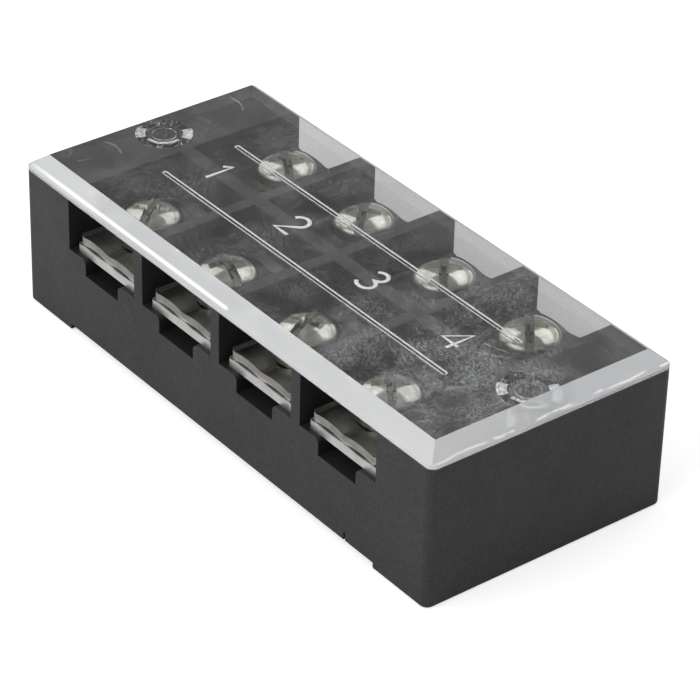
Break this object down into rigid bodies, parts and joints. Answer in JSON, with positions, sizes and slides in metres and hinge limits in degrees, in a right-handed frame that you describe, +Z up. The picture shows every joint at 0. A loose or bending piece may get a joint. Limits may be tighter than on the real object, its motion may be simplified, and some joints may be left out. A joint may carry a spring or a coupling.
{
  "type": "barrier terminal strip",
  "caption": "Black barrier terminal strip with screw clamps along both long sides, open wire wells and a clear bevelled clip-on cover.",
  "frame": {"origin": "centre of the footprint, on the mounting surface", "axes": "+X along the row of circuits from circuit 1 to circuit 4, +Y from the front terminals to the rear ones, +Z up through the cover"},
  "size_m": [0.092, 0.0404, 0.0242],
  "materials": {
    "black_moulding": "fine matt moulded",
    "clear_cover": "clear, lightly scuffed",
    "tinned_brass": "bright tinned",
    "plated_plate": "dull zinc plated",
    "spring_steel": "plated",
    "plated_screw": "bright zinc plated"
  },
  "bodies": {
    "root": {"base": "black_moulding", "conductor_bar_1": "tinned_brass", "conductor_bar_2": "tinned_brass", "conductor_bar_3": "tinned_brass", "conductor_bar_4": "tinned_brass"},
    "cover_body": {"cover": "clear_cover"},
    "clamp_front_1": {"clamp_plate_front_1": "plated_plate", "lock_washer_front_1": "spring_steel"},
    "screw_front_1": {"terminal_screw_front_1": "plated_screw"},
    "clamp_rear_1": {"clamp_plate_rear_1": "plated_plate", "lock_washer_rear_1": "spring_steel"},
    "screw_rear_1": {"terminal_screw_rear_1": "plated_screw"},
    "clamp_front_2": {"clamp_plate_front_2": "plated_plate", "lock_washer_front_2": "spring_steel"},
    "screw_front_2": {"terminal_screw_front_2": "plated_screw"},
    "clamp_rear_2": {"clamp_plate_rear_2": "plated_plate", "lock_washer_rear_2": "spring_steel"},
    "screw_rear_2": {"terminal_screw_rear_2": "plated_screw"},
    "clamp_front_3": {"clamp_plate_front_3": "plated_plate", "lock_washer_front_3": "spring_steel"},
    "screw_front_3": {"terminal_screw_front_3": "plated_screw"},
    "clamp_rear_3": {"clamp_plate_rear_3": "plated_plate", "lock_washer_rear_3": "spring_steel"},
    "screw_rear_3": {"terminal_screw_rear_3": "plated_screw"},
    "clamp_front_4": {"clamp_plate_front_4": "plated_plate", "lock_washer_front_4": "spring_steel"},
    "screw_front_4": {"terminal_screw_front_4": "plated_screw"},
    "clamp_rear_4": {"clamp_plate_rear_4": "plated_plate", "lock_washer_rear_4": "spring_steel"},
    "screw_rear_4": {"terminal_screw_rear_4": "plated_screw"}
  },
  "joints": [
    {"name": "cover_lift", "type": "slide", "parent": "root", "child": "cover_body", "axis": [0, 0, 1], "range_m": [0, 0.03]},
    {"name": "clamp_front_1_lift", "type": "slide", "parent": "root", "child": "clamp_front_1", "axis": [0, 0, 1], "range_m": [0, 0.00112]},
    {"name": "screw_front_1_turn", "type": "hinge", "parent": "clamp_front_1", "child": "screw_front_1", "pos_m": [-0.027, -0.0117, 0.01741], "axis": [0, 0, 1], "range_deg": [0, 504]},
    {"name": "clamp_rear_1_lift", "type": "slide", "parent": "root", "child": "clamp_rear_1", "axis": [0, 0, 1], "range_m": [0, 0.00112]},
    {"name": "screw_rear_1_turn", "type": "hinge", "parent": "clamp_rear_1", "child": "screw_rear_1", "pos_m": [-0.027, 0.0117, 0.01741], "axis": [0, 0, 1], "range_deg": [0, 504]},
    {"name": "clamp_front_2_lift", "type": "slide", "parent": "root", "child": "clamp_front_2", "axis": [0, 0, 1], "range_m": [0, 0.00112]},
    {"name": "screw_front_2_turn", "type": "hinge", "parent": "clamp_front_2", "child": "screw_front_2", "pos_m": [-0.009, -0.0117, 0.01741], "axis": [0, 0, 1], "range_deg": [0, 504]},
    {"name": "clamp_rear_2_lift", "type": "slide", "parent": "root", "child": "clamp_rear_2", "axis": [0, 0, 1], "range_m": [0, 0.00112]},
    {"name": "screw_rear_2_turn", "type": "hinge", "parent": "clamp_rear_2", "child": "screw_rear_2", "pos_m": [-0.009, 0.0117, 0.01741], "axis": [0, 0, 1], "range_deg": [0, 504]},
    {"name": "clamp_front_3_lift", "type": "slide", "parent": "root", "child": "clamp_front_3", "axis": [0, 0, 1], "range_m": [0, 0.00112]},
    {"name": "screw_front_3_turn", "type": "hinge", "parent": "clamp_front_3", "child": "screw_front_3", "pos_m": [0.009, -0.0117, 0.01741], "axis": [0, 0, 1], "range_deg": [0, 504]},
    {"name": "clamp_rear_3_lift", "type": "slide", "parent": "root", "child": "clamp_rear_3", "axis": [0, 0, 1], "range_m": [0, 0.00112]},
    {"name": "screw_rear_3_turn", "type": "hinge", "parent": "clamp_rear_3", "child": "screw_rear_3", "pos_m": [0.009, 0.0117, 0.01741], "axis": [0, 0, 1], "range_deg": [0, 504]},
    {"name": "clamp_front_4_lift", "type": "slide", "parent": "root", "child": "clamp_front_4", "axis": [0, 0, 1], "range_m": [0, 0.00112]},
    {"name": "screw_front_4_turn", "type": "hinge", "parent": "clamp_front_4", "child": "screw_front_4", "pos_m": [0.027, -0.0117, 0.01741], "axis": [0, 0, 1], "range_deg": [0, 504]},
    {"name": "clamp_rear_4_lift", "type": "slide", "parent": "root", "child": "clamp_rear_4", "axis": [0, 0, 1], "range_m": [0, 0.00112]},
    {"name": "screw_rear_4_turn", "type": "hinge", "parent": "clamp_rear_4", "child": "screw_rear_4", "pos_m": [0.027, 0.0117, 0.01741], "axis": [0, 0, 1], "range_deg": [0, 504]}
  ],
  "couplings": [
    {"joint": "screw_front_1_turn", "follows": "clamp_front_1_lift", "rad_per_m": 7854},
    {"joint": "screw_rear_1_turn", "follows": "clamp_rear_1_lift", "rad_per_m": 7854},
    {"joint": "screw_front_2_turn", "follows": "clamp_front_2_lift", "rad_per_m": 7854},
    {"joint": "screw_rear_2_turn", "follows": "clamp_rear_2_lift", "rad_per_m": 7854},
    {"joint": "screw_front_3_turn", "follows": "clamp_front_3_lift", "rad_per_m": 7854},
    {"joint": "screw_rear_3_turn", "follows": "clamp_rear_3_lift", "rad_per_m": 7854},
    {"joint": "screw_front_4_turn", "follows": "clamp_front_4_lift", "rad_per_m": 7854},
    {"joint": "screw_rear_4_turn", "follows": "clamp_rear_4_lift", "rad_per_m": 7854}
  ]
}
